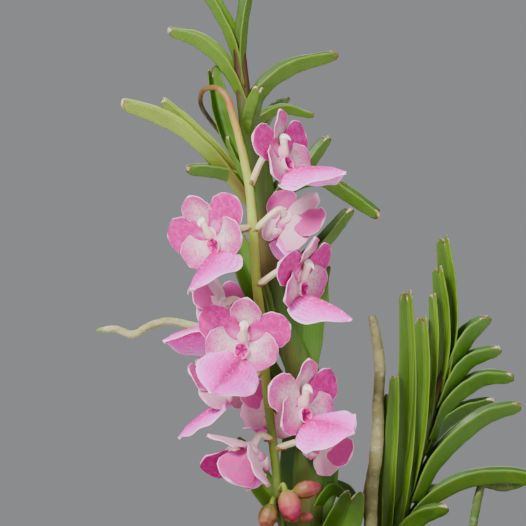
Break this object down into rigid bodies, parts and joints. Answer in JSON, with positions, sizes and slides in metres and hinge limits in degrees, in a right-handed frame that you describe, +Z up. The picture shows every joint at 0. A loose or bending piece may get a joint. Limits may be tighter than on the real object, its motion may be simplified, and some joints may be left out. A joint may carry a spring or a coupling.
{
  "type": "potted orchid",
  "caption": "Small strap-leaved orchid in flower, with a hanging spike of pink keel-lipped blooms, aerial roots and a plain terracotta pot of bark.",
  "frame": {"origin": "centre of the pot's foot, on the surface that it stands on", "axes": "+Z up along the pot's axis, +X to the right and -Y towards the viewer who faces the blooms"},
  "size_m": [0.118, 0.113, 0.263],
  "materials": {
    "pot_terracotta": "matte",
    "potting_bark": "matte",
    "leaf_green": "satin",
    "stalk_green": "satin",
    "petal_pink": "satin",
    "column_cream": "satin",
    "bud_pink": "satin",
    "root_velamen": "matte"
  },
  "bodies": {
    "root": {"pot": "pot_terracotta", "growing_medium": "potting_bark", "main_shoot": "leaf_green", "second_shoot": "leaf_green", "flower_stalk": "stalk_green", "bloom_1_perianth": "petal_pink", "bloom_1_column": "column_cream", "bloom_2_perianth": "petal_pink", "bloom_2_column": "column_cream", "bloom_3_perianth": "petal_pink", "bloom_3_column": "column_cream", "bloom_4_perianth": "petal_pink", "bloom_4_column": "column_cream", "bloom_5_perianth": "petal_pink", "bloom_5_column": "column_cream", "bloom_6_perianth": "petal_pink", "bloom_6_column": "column_cream", "bloom_7_perianth": "petal_pink", "bloom_7_column": "column_cream", "bloom_8_perianth": "petal_pink", "bloom_8_column": "column_cream", "bloom_9_perianth": "petal_pink", "bloom_9_column": "column_cream", "bloom_10_perianth": "petal_pink", "bloom_10_column": "column_cream", "bloom_11_perianth": "petal_pink", "bloom_11_column": "column_cream", "bud_1": "bud_pink", "bud_2": "bud_pink", "bud_3": "bud_pink", "bud_4": "bud_pink", "bud_5": "bud_pink", "bud_6": "bud_pink", "aerial_root_left": "root_velamen", "aerial_root_right": "root_velamen", "aerial_root_far_right": "root_velamen", "aerial_root_front": "root_velamen", "aerial_root_back": "root_velamen"}
  },
  "joints": []
}
